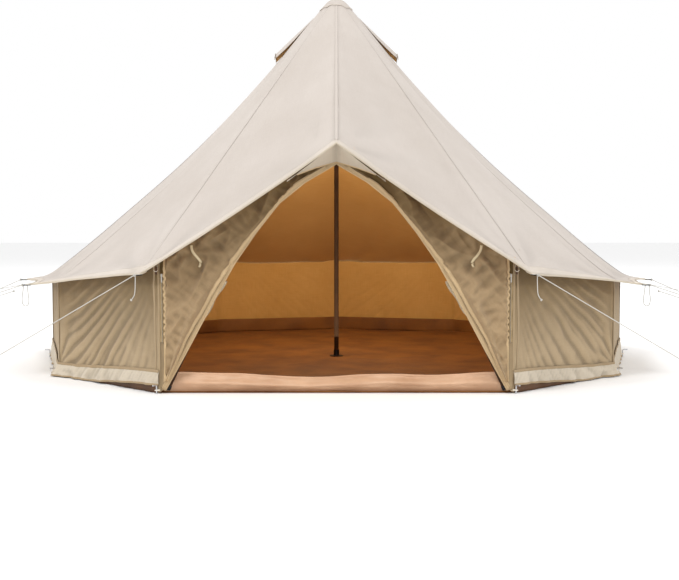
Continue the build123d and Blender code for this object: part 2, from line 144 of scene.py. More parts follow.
def neighbours(grid):
    """The mean of each point's neighbours a few cells away."""
    r = FOLD_REACH
    wide = np.pad(grid, ((r, r), (r, r), (0, 0)), mode="reflect", reflect_type="odd")
    upright = wide[2 * r:, r:-r] + wide[:-2 * r, r:-r]
    return (upright + wide[r:-r, 2 * r:] + wide[r:-r, :-2 * r]) / 4


CANVAS, HEAVY_CANVAS = 0.0014, 0.0016  # how thick the cloths are drawn
WALL_THICK = 0.0036  # enough that its two faces stay apart in the deepest folds


def cloth(name, grid, outer, inner=None, thick=CANVAS, closed=False, flip=False, hole=None):
    """A two-sided cloth from a grid of points on its outer face, with a UV in metres."""
    rows, cols = grid.shape[:2]
    n = normals_of(grid, closed) * (-1 if flip else 1)
    back = grid - n * thick
    u, v = run_along(grid, 1), run_along(grid)
    u -= u[:, cols // 2 : cols // 2 + 1]
    uv = np.concatenate([np.stack([u, v], axis=2).reshape(-1, 2)] * 2)
    verts = np.concatenate([grid.reshape(-1, 3), back.reshape(-1, 3)])
    size = rows * cols
    i = np.arange(size).reshape(rows, cols)
    keep = slice(None) if hole is None else ~hole.ravel()
    corners = (i[:-1, :-1], i[:-1, 1:], i[1:, 1:], i[1:, :-1])
    front = np.stack([c.ravel() for c in corners], axis=1)[keep]
    reverse = front[:, ::-1] + size
    rims = [i[0, :], i[-1, ::-1]] + ([] if closed else [i[::-1, 0], i[:, -1]])
    rim = np.concatenate(
        [np.stack([r[1:], r[:-1], r[:-1] + size, r[1:] + size], axis=1) for r in rims])
    if hole is not None:
        edges = {(f[n], f[(n + 1) % 4]) for f in front.tolist() for n in range(4)}
        border = set(np.concatenate(rims).tolist())
        lone = [e for e in edges if e[::-1] not in edges and not border.issuperset(e)]
        rim = np.concatenate([rim, [(q, p, p + size, q + size) for p, q in sorted(lone)]])
    faces = np.concatenate([front, reverse, rim])
    if flip:
        faces = faces[:, ::-1]
    indices = [0] * len(front) + [1 if inner else 0] * len(reverse) + [0] * len(rim)
    materials = [outer, inner] if inner else [outer]
    obj = new_object(name, verts, faces.tolist(), materials, indices, uv)
    # how deep each point lies in a fold, which the materials turn into painted shade in the hollows
    # and a painted highlight on the crests
    hollow = np.einsum("ijk,ijk->ij", neighbours(grid) - grid, n) / FOLD_DEPTH
    folds = obj.data.attributes.new("fold", "FLOAT", "POINT")
    folds.data.foreach_set("value", np.concatenate([hollow.ravel(), -hollow.ravel()]).clip(-1, 1))
    return obj


def sweep(name, centre, side, up, profile, material, closed=False):
    """A solid strip: a closed outline of (across, above) points carried along a line."""
    centre, side, up = (np.asarray(x, float) for x in (centre, side, up))
    profile = np.asarray(profile, float)
    count = len(profile)
    ring = centre[:, None] + side[:, None] * profile[:, :1] + up[:, None] * profile[:, 1:]
    uv = np.stack(np.broadcast_arrays(profile[:, 0], run_along(centre)[:, None]), axis=2)
    faces, total = [], len(centre)
    for i in range(total if closed else total - 1):
        j = (i + 1) % total
        for k in range(count):
            m = (k + 1) % count
            faces.append([i * count + k, i * count + m, j * count + m, j * count + k])
    if not closed:
        faces.append(list(range(count))[::-1])
        faces.append([(total - 1) * count + k for k in range(count)])
    return new_object(name, ring.reshape(-1, 3), faces, [material], None, uv.reshape(-1, 2))


def joined(name, objects):
    """Joins mesh objects into one, without operators."""
    mesh = bpy.data.meshes.new(name)
    bm = bmesh.new()
    for o in objects:
        bm.from_mesh(o.data)
    bm.to_mesh(mesh)
    bm.free()
    for material in objects[0].data.materials:
        mesh.materials.append(material)
    for o in objects:
        bpy.data.objects.remove(o)
    return add_object(name, mesh)


def round_profile(radius, sides):
    turns = [2 * pi * k / sides for k in range(sides)]
    return [(radius * cos(turn), radius * sin(turn)) for turn in turns]


def flat_profile(width, thick):
    """A strap's section, with rounded edges."""
    w, t = width / 2, thick / 2
    lower = [(-w, -t * 0.3), (-w + t, -t), (w - t, -t), (w, -t * 0.3)]
    return lower + [(x, -y) for x, y in lower[::-1]]


# ---- materials ----
def srgb(colour):
    """A colour given as it looks on a screen, from 0 to 255, in the shader's linear terms."""
    levels = (c / 255 for c in colour)
    return tuple(c / 12.92 if c <= 0.04045 else ((c + 0.055) / 1.055) ** 2.4 for c in levels)


def tinted(colour, factor):
    return tuple(min(1, c * factor) for c in colour)


class Material:
    """A node material, built a node at a time."""

    def __init__(self, name, roughness, colour=None, **sockets):
        self.material = bpy.data.materials.new(name)
        self.material.use_nodes = True
        self.tree = self.material.node_tree
        self.shader = self.tree.nodes["Principled BSDF"]
        self.shader.inputs["Roughness"].default_value = roughness
        if colour:
            self.shader.inputs["Base Color"].default_value = (*colour, 1)
        for key, value in sockets.items():
            self.shader.inputs[key.replace("_", " ")].default_value = value

    def node(self, kind, settings=None, **inputs):
        made = self.tree.nodes.new(kind)
        for key, value in (settings or {}).items():
            setattr(made, key, value)
        for key, value in inputs.items():
            self.feed(made.inputs[key.replace("_", " ")], value)
        return made

    def feed(self, socket, value):
        if isinstance(value, bpy.types.NodeSocket):
            self.tree.links.new(value, socket)
        else:
            socket.default_value = value

    def math(self, operation, *values, kind="ShaderNodeMath"):
        made = self.node(kind, {"operation": operation})
        for socket, value in zip(made.inputs, values):
            self.feed(socket, value)
        return made.outputs[0]

    def times(self, a, b):
        return self.math("MULTIPLY", a, b)

    def mean(self, a, b):
        return self.math("ADD", self.times(a, 0.5), self.times(b, 0.5))

    def noise(self, vector, scale, detail):
        return self.node(
            "ShaderNodeTexNoise", Vector=vector, Scale=scale, Detail=detail, Roughness=0.55
        ).outputs["Fac"]

    def scaled(self, vector, factors):
        return self.math("MULTIPLY", vector, factors, kind="ShaderNodeVectorMath")

    def blend(self, factor, a, b):
        made = self.node("ShaderNodeMix", {"data_type": "RGBA"})
        self.feed(made.inputs["Factor"], factor)
        for socket, value in ((6, a), (7, b)):  # the colour inputs; the others are for numbers
            is_socket = isinstance(value, bpy.types.NodeSocket)
            self.feed(made.inputs[socket], value if is_socket else (*value, 1))
        return made.outputs[2]

    def spread(self, value, low, high):
        """Stretches a value so that low becomes 0 and high becomes 1."""
        settings = {"clamp": True}
        made = self.node("ShaderNodeMapRange", settings, Value=value, From_Min=low, From_Max=high)
        return made.outputs["Result"]

    def bump(self, height, distance, strength=1.0):
        made = self.node("ShaderNodeBump", Height=height, Distance=distance, Strength=strength)
        chained = self.shader.inputs["Normal"]
        if chained.is_linked:
            self.tree.links.new(chained.links[0].from_socket, made.inputs["Normal"])
        self.feed(chained, made.outputs["Normal"])

    def colour(self, value):
        self.feed(self.shader.inputs["Base Color"], value)

    def two_tone(self, value, low, high, first, second):
        """Goes from one colour to the other as a value goes from low to high."""
        return self.blend(self.spread(value, low, high), first, second)

    def object_space(self):
        return self.node("ShaderNodeTexCoord").outputs["Object"]

    def uv(self):
        return self.node("ShaderNodeUVMap", {"uv_map": "cloth"}).outputs["UV"]

    def waves(self, pitch):
        """Sine waves over the cloth, one way and the other."""
        ways = self.node("ShaderNodeSeparateXYZ", Vector=self.uv()).outputs
        return [self.math("SINE", self.times(ways[k], 2 * pi / pitch)) for k in (0, 1)]


THREAD, NET_GAP = 0.0011, 0.0022  # wavelengths of the weave and the net
LONG, SHORT = 260, 9  # how much finer the threads' unevenness is across them than along them
SHADED_TINT = (0.4, 0.34, 0.18)


def canvas_material(name, light, dark, shade=0.2, shaded=None):
    """Woven canvas: a plain weave, uneven threads and faint cloudiness, drawn on the cloth's UV."""
    light, dark = srgb(light), srgb(dark)
    m = Material(name, 0.92, Sheen_Weight=0.12, Sheen_Roughness=0.6, Specular_IOR_Level=0.25)
    weave = m.times(*m.waves(THREAD))
    warp = m.noise(m.scaled(m.uv(), (LONG, SHORT, 1)), 1.0, 2.0)
    weft = m.noise(m.scaled(m.uv(), (SHORT, LONG, 1)), 1.0, 2.0)
    threads = m.mean(warp, weft)
    cloud = m.noise(m.object_space(), 2.2, 4.0)
    look = m.two_tone(m.mean(threads, cloud), 0.36, 0.64, dark, light)
    if shaded:
        # painted shade: the cloth is darker close under the eave, standing in for the eave's shadow
        # on it
        height = m.node("ShaderNodeSeparateXYZ", Vector=m.object_space()).outputs[2]
        look = m.two_tone(height, *shaded, look, tuple(c * k for c, k in zip(dark, SHADED_TINT)))
    # painted shade darkens the hollows of the folds and a painted highlight makes the crests paler,
    # standing in for the light and shade the folds catch
    fold = m.node("ShaderNodeAttribute", {"attribute_name": "fold"}).outputs["Fac"]
    look = m.blend(m.times(m.spread(fold, 0.0, 1.0), shade), look, tinted(dark, 0.42))
    crest = m.spread(m.times(fold, -1.0), 0.0, 1.0)
    m.colour(m.blend(m.times(crest, shade * 0.35), look, tinted(light, 1.3)))
    m.bump(m.noise(m.object_space(), 16, 4.0), 0.006, 0.3)
    m.bump(weave, 0.00035, 0.5)
    m.bump(threads, 0.0012, 0.35)
    return m.material


canvas_roof = canvas_material("canvas roof", (190, 181, 173), (180, 170, 161), 0.14)
# painted shade: the walls are the roof's canvas, made darker for the shade they stand in under the
# eave
canvas_wall_shaded = canvas_material("canvas wall shaded", (172, 151, 120), (152, 131, 100), 0.5, (0.2, 0.7))
# painted shade: the door flaps are the roof's canvas, made darker for the shade under the awning
canvas_flap_shaded = canvas_material("canvas flap shaded", (164, 140, 107), (144, 120, 88), 0.27, (0.5, 1.25))
# painted light: the inner face of the same canvas, golden with the daylight that shines through it
canvas_inside_glow = canvas_material("canvas inside glow", (206, 162, 98), (190, 145, 80), 0.14)
canvas_hem = canvas_material("canvas hem", (200, 190, 179), (188, 177, 164))
canvas_piping = canvas_material("canvas piping", (200, 188, 170), (184, 172, 152), 0.24)


def sheet_plastic(name, light, dark, roughness):
    """Woven plastic sheet, with creases and scuffs."""
    m = Material(name, roughness)
    place = m.object_space()
    m.colour(m.two_tone(m.noise(place, 3.5, 5.0), 0.35, 0.65, srgb(dark), srgb(light)))
    m.bump(m.noise(place, 700, 1.0), 0.0003, 0.4)
    m.bump(m.noise(m.scaled(place, (1, 1.6, 1)), 9, 4.0), 0.006, 0.35)
    return m.material


def painted(name, colour, worn, roughness):
    """A coated or moulded surface with fine texture and rubbed spots."""
    m = Material(name, roughness, Specular_IOR_Level=0.3)
    place = m.object_space()
    m.colour(m.two_tone(m.noise(place, 14, 5.0), 0.42, 0.72, srgb(colour), srgb(worn)))
    m.bump(m.noise(place, 900, 2.0), 0.0002, 0.35)
    return m.material


def steel(name, colour, roughness):
    """Plated bar, drawn along its length; its colour is linear."""
    m = Material(name, roughness, Metallic=0.95)
    streak = m.noise(m.scaled(m.object_space(), (900, 900, 25)), 1.0, 3.0)
    m.colour(m.two_tone(streak, 0.3, 0.7, tinted(colour, 0.8), colour))
    m.bump(streak, 0.0002, 0.3)
    return m.material


def cord_material(name, light, dark):
    """Braided cord: a fine criss-cross over the curve."""
    m = Material(name, 0.75)
    weave = m.noise(m.object_space(), 900, 1.0)
    m.colour(m.two_tone(weave, 0.35, 0.65, srgb(dark), srgb(light)))
    m.bump(weave, 0.0006, 0.6)
    return m.material


def net_material(name, thread, gap):
    """Insect net: threads either way over a darker ground."""
    m = Material(name, 0.8)
    grid = m.math("MAXIMUM", *m.waves(NET_GAP))
    m.colour(m.two_tone(grid, 0.2, 0.8, srgb(gap), srgb(thread)))
    m.bump(grid, 0.0004, 0.6)
    return m.material


# painted shade and painted golden light: the groundsheet inside the tent, darker and browner than
# the lit sill, which is the same sheet
floor_shaded_glow = sheet_plastic("groundsheet inside shaded", (130, 80, 22), (102, 58, 12), 0.72)
sill_tan = sheet_plastic("groundsheet sill", (206, 168, 136), (186, 146, 114), 0.5)
# painted shade: the groundsheet's edge, darkened for the shadow under the wall's foot
edge_shaded = sheet_plastic("groundsheet edge shaded", (92, 58, 26), (70, 42, 18), 0.6)
pole_paint = painted("pole paint", (54, 34, 18), (70, 44, 24), 0.75)
# painted light: the pole's upper section, lighter and redder than the lower where the light through
# the roof falls on it
pole_paint_lit = painted("pole paint lit", (104, 52, 22), (126, 70, 34), 0.55)
black_plastic = painted("black plastic", (22, 22, 24), (40, 40, 42), 0.45)
red_plastic = painted("red plastic", (196, 26, 22), (214, 54, 44), 0.35)
plated_steel = steel("plated steel", (0.62, 0.63, 0.65), 0.32)
zip_metal = steel("zip metal", (0.5, 0.47, 0.42), 0.35)
toggle_wood = painted("toggle", (70, 48, 32), (96, 68, 46), 0.5)
rope_white = cord_material("rope", (202, 199, 192), (162, 158, 150))
webbing_white = cord_material("webbing", (240, 234, 220), (218, 208, 190))
webbing_cream = cord_material("tie webbing", (208, 192, 158), (186, 168, 132))
zip_tape = cord_material("zip tape", (170, 146, 106), (146, 122, 84))
net = net_material("insect net", (214, 200, 172), (120, 98, 66))

CAD_FINISH = {
    pole_paint: ("pole_lower", "pole_middle", "door_pole_left", "door_pole_right"),
    pole_paint_lit: ("pole_upper",),
    black_plastic: ("pole_cap", "pole_foot", "door_pole_elbow", "door_pole_feet",
                    "stake_heads", "eave_rings"),
    red_plastic: [n for n in nodes if n.startswith("runner")],
    plated_steel: ("stake_shafts", "hem_pegs"),
    zip_metal: ("zip_slider_left", "zip_slider_right"),
    toggle_wood: ("door_toggles",),
    webbing_white: ("hem_loops",),
}
for material, names in CAD_FINISH.items():
    for name in names:
        for place in nodes[name].material_slots:
            place.link = "OBJECT"
            place.material = material


def own(obj, slot_name, *replaced):
    """Hangs a piece on the tent's body, and hides the CAD nodes it stands in for."""
    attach(obj, "tent")
    if replaced:
        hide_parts(*replaced)
    return obj


# ---- camera, light and ground ----
FOCAL_PX, WIDTH_PX = 1217, 679  # as solved from the photo
SENSOR = 36
AIM_RIGHT, AIM_DOWN = 3.1 / FOCAL_PX, 80 / FOCAL_PX
camera = add_object("camera", bpy.data.cameras.new("camera"))
camera.data.sensor_width = SENSOR
camera.data.lens = SENSOR * FOCAL_PX / WIDTH_PX
camera.data.clip_end = 200
camera.location = (0, -8.57, 1.035)
camera.rotation_euler = Vector((AIM_RIGHT, 1, -AIM_DOWN)).to_track_quat("-Z", "Y").to_euler()
bpy.context.scene.camera = camera
bpy.context.scene.view_settings.view_transform = "Standard"


def area_light(name, where, target, size, power, colour=(1, 1, 1)):
    lamp = bpy.data.lights.new(name, "AREA")
    lamp.shape, lamp.size, lamp.energy, lamp.color = "DISK", size, power, colour
    obj = add_object(name, lamp)
    obj.location = where
    obj.rotation_euler = (Vector(target) - Vector(where)).to_track_quat("-Z", "Y").to_euler()


# name, place, target, width in metres and power in watts
area_light("key", (-1.5, -6, 11), (0, 0, 0.8), 3, 400)
area_light("left graze", (-8, -6.5, 4.2), (0, 0, 0.6), 1.5, 220)
area_light("right graze", (8, -6.5, 4.2), (0, 0, 0.6), 1.5, 185)
area_light("back", (0, 9, 9), (0, 0, 0.8), 7, 420)
# daylight that comes through the canvas
area_light("canvas glow", (0, 0.1, 1.9), (0, 0.3, 0), 0.5, 28, (1.0, 0.88, 0.64))
area_light("canvas glow below", (0, -0.4, 0.35), (0, 0.6, 2.2), 1.6, 12, (1.0, 0.86, 0.62))
world = bpy.data.worlds.new("studio")
world.use_nodes = True
sky = world.node_tree.nodes["Background"].inputs
sky["Color"].default_value = (1, 1, 1, 1)
sky["Strength"].default_value = 1.0
bpy.context.scene.world = world

FLOOR_HALF, FLOOR_Z = 30, -0.001
ground = new_object(
    "studio_floor",
    [(x * FLOOR_HALF, y * FLOOR_HALF, FLOOR_Z) for x, y in ((-1, -1), (1, -1), (1, 1), (-1, 1))],
    [(0, 1, 2, 3)],
    [Material("floor", 0.9, (0.9, 0.9, 0.9)).material],
)


# ---- guy ropes ----
def eave_tip(angle):
    side = min(angle, 360 - angle)
    if side == 30:
        return at(angle, *DOOR_TIP)
    return at(angle, RIB_R[-1], RIB_Z[-1] + (SIDE_LIFT if side == 60 else 0))


def ring_centre(angle):
    return eave_tip(angle) + at(angle, TAB + RING_OUT - 0.002) - UP * 0.003


def rope_frame(angle):
    """A guy rope's start, its run, the way up square to it, and its hook's middle."""
    r, bearing, height = STAKE_AT[min(angle, 360 - angle)]
    target = at(bearing if angle <= 180 else 360 - bearing, r, height)
    centre = ring_centre(angle)
    flat = (target - centre) * Vector((1, 1, 0))
    start = centre + flat.normalized() * (RING_OUT + ROPE_D / 2)
    run = (target - start).normalized()
    rise = (UP - run * UP.dot(run)).normalized()
    return start, run, rise, (target - start).length


def cord_curve(name, points):
    """A rope drawn as one smooth spline over its route's points."""
    curve = bpy.data.curves.new(name, "CURVE")
    curve.dimensions = "3D"
    curve.bevel_depth = ROPE_D / 2
    curve.bevel_resolution = 3
    curve.resolution_u = 10
    curve.use_fill_caps = True
    spline = curve.splines.new("NURBS")
    spline.points.add(len(points) - 1)
    for slot, p in zip(spline.points, points):
        slot.co = (*p, 1)
    spline.order_u = 3
    spline.use_endpoint_u = True
    curve.materials.append(rope_white)
    return add_object(name, curve)


def knot(name, where, along, size):
    """A small overhand knot: a rope wound once over itself."""
    along = along.normalized()
    side = along.cross(UP if abs(along.z) < 0.9 else Vector((1, 0, 0))).normalized()
    up = side.cross(along)
    count, line = 48, []
    for i in range(count):
        t = 2 * pi * i / count
        wide, deep = size * (1 + 0.35 * cos(3 * t)), size * 0.8 * sin(3 * t)
        flat = where + side * (wide * cos(2 * t)) + up * (wide * sin(2 * t))
        line.append(flat + along * deep)
    line = np.array(line)
    tangent = unit(np.roll(line, -1, axis=0) - np.roll(line, 1, axis=0))
    a = unit(np.cross(tangent, np.array(along) + 0.01))
    profile = round_profile(ROPE_D * 0.46, 8)
    return sweep(name, line, a, np.cross(tangent, a), profile, rope_white, closed=True)


BEFORE_HOOK = 0.012  # where the straight strand ends and the turn round the hook begins
STRAIGHT_TO = 0.024  # the rope is held straight up to here, so it stays inside the runner
RETURN_LEN = 0.148  # how far the strand comes back from the hook
for number, angle in enumerate(CORNERS, 1):
    start, run, rise, length = rope_frame(angle)
    middle = start + run * length - rise * ROPE_GAP / 2
    # those on the second ribs come back nearly to the ring
    back = length - 0.06 if angle in (60, 300) else RETURN_LEN
    route = [(-length, 0.5), (-STRAIGHT_TO, 0.5), (-BEFORE_HOOK, 0.5),
             (0.0, 0.56), (0.0107, 0.48), (0.0107, -0.48), (0.0, -0.56),
             (-BEFORE_HOOK, -0.5), (-STRAIGHT_TO, -0.5), (-back, -0.5)]
    points = [middle + run * along + rise * ROPE_GAP * above for along, above in route]
    name = f"guy_rope_{number:02d}"
    rope = own(cord_curve(f"{name}_cord", points), "rope", name)
    end_knot = own(knot(f"{name}_end_knot", points[-1], run, 0.0042), "rope")
    ring_knot = own(knot(f"{name}_ring_knot", start, run, 0.005), "rope")

# routes of the short ropes that hang from the rings beside the door: sideways and down
TAIL_ROUTE = [(0, 0.0003), (0.0005, 0.04), (0.002, 0.08), (0.006, 0.114), (0.024, 0.134)]
LOOP_ROUTE = [(0.012, 0.0003), (0.015, 0.042), (0.023, 0.086), (0.015, 0.126),
              (-0.015, 0.126), (-0.023, 0.086), (-0.015, 0.042), (-0.012, 0.0003)]
for name, angle, route, forward, length in (
    ("rope_tail_right", 30, TAIL_ROUTE, RING_IN + 0.003, 0.145),
    ("rope_tail_left", 330, TAIL_ROUTE, RING_IN + 0.003, 0.145),
    ("rope_loop_right", 60, LOOP_ROUTE, 0, 0.27),
    ("rope_loop_left", 300, LOOP_ROUTE, 0, 0.27),
):
    side = 1 if angle < 180 else -1
    top = ring_centre(angle) + at(angle, forward) - UP * 0.003
    points = [top + Vector((side * x, 0, -z)) for x, z in route]
    hanging = own(cord_curve(f"{name}_cord", points), "rope", name)
    extra = []
    if "tail" in name:
        tail_knot = knot(f"{name}_knot", points[-1], points[-1] - points[-2], 0.0036)
        extra = [own(tail_knot, "rope")]


# ---- roof ----
def smooth_through(xs, ys, x):
    """A smooth curve through points, read at x."""
    xs, ys, x = (np.asarray(v, float) for v in (xs, ys, x))
    slope = np.concatenate([[ys[1] - ys[0]], ys[2:] - ys[:-2], [ys[-1] - ys[-2]]])
    slope /= np.concatenate([[xs[1] - xs[0]], xs[2:] - xs[:-2], [xs[-1] - xs[-2]]])
    i = np.clip(np.searchsorted(xs, x) - 1, 0, len(xs) - 2)
    h = xs[i + 1] - xs[i]
    t = (x - xs[i]) / h
    return ((2 * t**3 - 3 * t**2 + 1) * ys[i] + (t**3 - 2 * t**2 + t) * h * slope[i]
            + (-2 * t**3 + 3 * t**2) * ys[i + 1] + (t**3 - t**2) * h * slope[i + 1])


def rib(angle, s):
    """A rib's points, from the top at s = 0 to the eave at s = 1."""
    side = min(angle % 360, 360 - angle % 360)
    if side in (0, 30):
        end_r, end_z = PEAK if side == 0 else DOOR_TIP
        r = s * end_r
        z = TOP_Z + (end_z - TOP_Z) * (r - TOP_R) / (end_r - TOP_R)
        z = np.where(r < TOP_R, np.interp(r, RIB_R, RIB_Z), z)
    else:
        r = s * RIB_R[-1]
        z = smooth_through(RIB_R, RIB_Z, r) + (SIDE_LIFT * ramp(1.9, 2.18, r) if side == 60 else 0)
    a = radians(angle)
    return np.stack([r * sin(a), -r * cos(a), z], axis=-1)


ROOF_ROWS, BAY_COLS = 120, 26
s_rows = np.linspace(0.004, 1, ROOF_ROWS)


def fan(points, centre, inward, reach, folds, height, seed):
    """Creases that spread from a point where the cloth is pulled."""
    offset = points - np.array(centre)
    inward = unit(np.array(inward))
    sideways = np.array([-inward[1], inward[0], 0])
    far = np.linalg.norm(offset, axis=-1)
    turn = np.arctan2(offset @ sideways, np.hypot(offset @ inward, 0.35 * far) + 1e-4)
    fade = np.exp(-far / reach) * ramp(0.03, 0.2, far)
    return height * fade * np.sin(turn * folds + 1.7 * np.sin(turn * 2.3 + seed) + seed)


def roof_grid():
    """The roof's outer face, a column at a time from the back round to the back again."""
    columns = []
    for k in range(180, 540, 30):
        near, far = rib(k, s_rows), rib(k + 30, s_rows)
        front = k % 360 in (330, 0)
        clear, fade = ((0.15, 0.9), 1.05) if front else ((0.25, 1.35), 1.16)
        for f in np.arange(BAY_COLS) / BAY_COLS:
            column = near * (1 - f) + far * f
            hump = 4 * f * (1 - f)
            r = np.linalg.norm(column[:, :2], axis=1)
            radial = column[:, :2] / np.maximum(r, 1e-6)[:, None]
            swell = 0.034 * r * (1 - fade * ramp(*clear, r))
            column[:, :2] += radial * (swell * hump * 0.75)[:, None]
            column[:, 2] += swell * hump * 0.6
            if front:
                column[:, 2] -= 0.012 * hump * ramp(0.5, 1, s_rows)
            else:
                # the eave curves in between its rings
                column[:, :2] -= radial * (0.045 * hump * ramp(0.86, 1, s_rows))[:, None]
                column[:, 2] += 0.016 * hump * ramp(0.86, 1, s_rows)
            columns.append(column)
    columns.append(columns[0])
    return np.stack(columns, axis=1)


roof = roof_grid()
roof_out = -normals_of(roof, closed=True)
bearing = np.degrees(np.arctan2(roof[..., 0], -roof[..., 1]))
crease = 0.0022 * wobble(bearing / 9, roof[..., 2] * 1.2, 3.0, 3)
for angle in CORNERS:
    crease += fan(roof, eave_tip(angle), at(angle, -1, 0.55), 0.4, 13, 0.006, angle * 0.37)
peak = at(0, *PEAK)
crease += fan(roof, peak, (0, 1, 0.58), 0.42, 9, 0.0045, 1.1)
rise_above = np.linalg.norm(roof - np.array(peak), axis=-1)
near_peak = np.exp(-((roof[..., 0] / 0.2) ** 2) - rise_above / 0.2)
crease += 0.0012 * near_peak * np.sin(rise_above * 62)
crease[:, -1] = crease[:, 0]
crease *= ramp(0.0, 0.3, s_rows)[:, None]
roof += roof_out * crease[..., None]
roof_cloth = own(
    cloth("roof_canvas_cloth", roof, canvas_roof, canvas_inside_glow, HEAVY_CANVAS,
          closed=True, flip=True),
    "canvas", "roof_canvas")


def roof_column(angle):
    """Roof points from the top down, along a compass angle of a rib or between two."""
    place = ((angle - 180) % 360) / 30
    sector, f = int(place), place - int(place)
    if f:
        sweep_angle = radians(f * 30)
        f = sin(sweep_angle) / (sin(sweep_angle) + sin(radians(30) - sweep_angle))
    at_col = (sector + f) * BAY_COLS
    low = int(at_col)
    share = at_col - low
    return roof[:, low] * (1 - share) + roof[:, min(low + 1, roof.shape[1] - 1)] * share


def roof_z(x, y):
    """Height of the roof cloth over a point."""
    column = roof_column(np.degrees(np.arctan2(x, -y)) % 360)
    return float(np.interp(np.hypot(x, y), np.linalg.norm(column[:, :2], axis=1), column[:, 2]))


def along_line(line, count):
    """A line of points resampled to equal steps."""
    line = np.asarray(line, float)
    run = run_along(line)
    wanted = np.linspace(0, run[-1], count)
    return np.stack([np.interp(wanted, run, line[:, k]) for k in range(line.shape[1])], axis=1)


def ruled(first, second, rows, cols):
    """A grid of points between two lines."""
    a, b = along_line(first, cols), along_line(second, cols)
    f = np.linspace(0, 1, rows)[:, None, None]
    return a[None] * (1 - f) + b[None] * f


def band(name, line, out, width, material, thick):
    """A sewn band along a line of points: hem, seam or webbing, lying square to out.

    out is one direction, or one for each point.
    """
    line = np.asarray(line, float)
    if np.ndim(out) < 2:
        out = repeated(out, len(line))
    tangent = unit(np.gradient(line, axis=0))
    side = unit(np.cross(tangent, unit(out)))
    profile = flat_profile(width, thick)
    return sweep(name, line, side, np.cross(side, tangent), profile, material)


STITCH, STITCH_SHARE = 0.004, 0.62  # a stitch's pitch, and how much of it is thread


def stitched_material(name, light, dark, row_at):
    """Canvas band with a row of stitches near each edge, drawn on the band's UV."""
    light, dark = srgb(light), srgb(dark)
    m = Material(name, 0.9, Sheen_Weight=0.1)
    across, along, _ = m.node("ShaderNodeSeparateXYZ", Vector=m.uv()).outputs
    off_row = m.math("ABSOLUTE", m.math("SUBTRACT", m.math("ABSOLUTE", across), row_at))
    in_row = m.math("LESS_THAN", off_row, 0.0009)
    dash = m.math("LESS_THAN", m.math("FRACT", m.math("DIVIDE", along, STITCH)), STITCH_SHARE)
    weave = m.noise(m.object_space(), 700, 2.0)
    plain = m.two_tone(weave, 0.35, 0.65, dark, light)
    m.colour(m.blend(m.times(in_row, dash), plain, tinted(dark, 0.62)))
    m.bump(weave, 0.0006, 0.4)
    m.bump(m.times(off_row, -40.0), 0.0004, 0.3)
    return m.material


seam_roof = stitched_material("roof seam", (189, 180, 172), (179, 169, 160), 0.008)
hem_roof = stitched_material("roof hem", (198, 188, 177), (186, 175, 162), 0.014)
# painted shade: the wall's hems, made darker to match the shaded wall
hem_wall_shaded = stitched_material("wall hem shaded", (162, 141, 110), (146, 125, 94), 0.009)
hem_door = stitched_material("door hem", (196, 170, 132), (176, 150, 112), 0.007)

# seams down the ribs, where two widths of canvas join
roof_extras = []
for angle in range(180, 540, 30):
    keep = roof_column(angle % 360)[4:-2]
    out = roof_out[4:-2, (angle - 180) // 30 * BAY_COLS]
    seam = band(f"roof_seam_{angle:03d}", keep + out * 0.0002, out, 0.02, seam_roof, 0.001)
    roof_extras.append(seam)
roof_seams = own(joined("roof_seams", roof_extras), "canvas")

# the eave's folded hem, and the piping along the awning
hem_rows = roof[-4:] + roof_out[-4:] * 0.0014
roof_hem = own(cloth("roof_hem", hem_rows, canvas_hem, None, 0.0012, closed=True, flip=True), "hem")
edge = roof[-1, :-1]
piping = own(
    sweep("roof_piping", edge, roof_out[-1, :-1], repeated(UP, len(edge)),
          round_profile(0.0038, 8), canvas_piping, closed=True),
    "hem")
under_rows = roof[-3:] - roof_out[-3:] * 0.004
under_hem = own(cloth("roof_under_hem", under_rows, canvas_inside_glow, None, 0.001, closed=True), "hem")

# tabs that hold the eave rings
tabs = []
for angle in CORNERS:
    tip = np.array(eave_tip(angle))
    out = np.array(at(angle, 1))
    line = [tip - out * 0.05 + (0, 0, 0.012), tip - out * 0.01 + (0, 0, 0.001),
            tip + out * (TAB + 0.012)]
    tabs.append(band(f"eave_tab_{angle}", along_line(line, 6), UP, 0.02, webbing_white, 0.0024))
own(joined("eave_tabs", tabs), "webbing")


# ---- cap over the roof's point ----
CAP_COLS, CAP_ROWS = 145, 16
cap_rows = np.linspace(0.02, 1, CAP_ROWS)
cap = np.empty((CAP_ROWS, CAP_COLS, 3))
for j, angle in enumerate(np.linspace(0, 360, CAP_COLS)):
    reach = 0.112 + 0.007 * cos(radians(angle * 10)) + 0.003 * sin(radians(angle * 3))
    r = cap_rows * reach
    column = roof_column(angle % 360)
    z = np.interp(r, np.linalg.norm(column[:, :2], axis=1), column[:, 2])
    lift = 0.0045 + 0.0012 * ramp(0.5, 1, cap_rows) * (1 + sin(radians(angle * 10 + 40)))
    cap[:, j] = np.stack([r * sin(radians(angle)), -r * cos(radians(angle)), z + lift], axis=-1)
apex = own(
    cloth("apex_cap_cloth", cap, canvas_roof, canvas_inside_glow, closed=True, flip=True),
    "canvas", "apex_cap")
edge_out = roof_out[10][np.linspace(0, BAY_COLS * 12 - 1, CAP_COLS - 1).astype(int)]
cap_edge = own(
    sweep("apex_cap_edge", cap[-1, :-1], edge_out, repeated(UP, CAP_COLS - 1),
          round_profile(0.0025, 6), canvas_hem, closed=True),
    "hem")

# ---- vents and their hoods ----
VENT = (0.2, 0.375), (0.004, 0.07)  # from the middle out to its sill, and half as wide
HOOD = (0.16, 0.425), (0.012, 0.11)
HOOD_Z = 2.108
roof_heights = np.vectorize(roof_z)
u, v = np.linspace(0, 1, 22)[:, None], np.linspace(-1, 1, 27)[None, :]


def wedge(angle, reach, halves):
    """Distances out and the x and y of a patch of roof that widens downwards."""
    r, half = (low + (high - low) * u for low, high in (reach, halves))
    out, across = at(angle, 1), at(angle + 90, 1)
    return r, *(out[k] * r + across[k] * v * half for k in (0, 1))


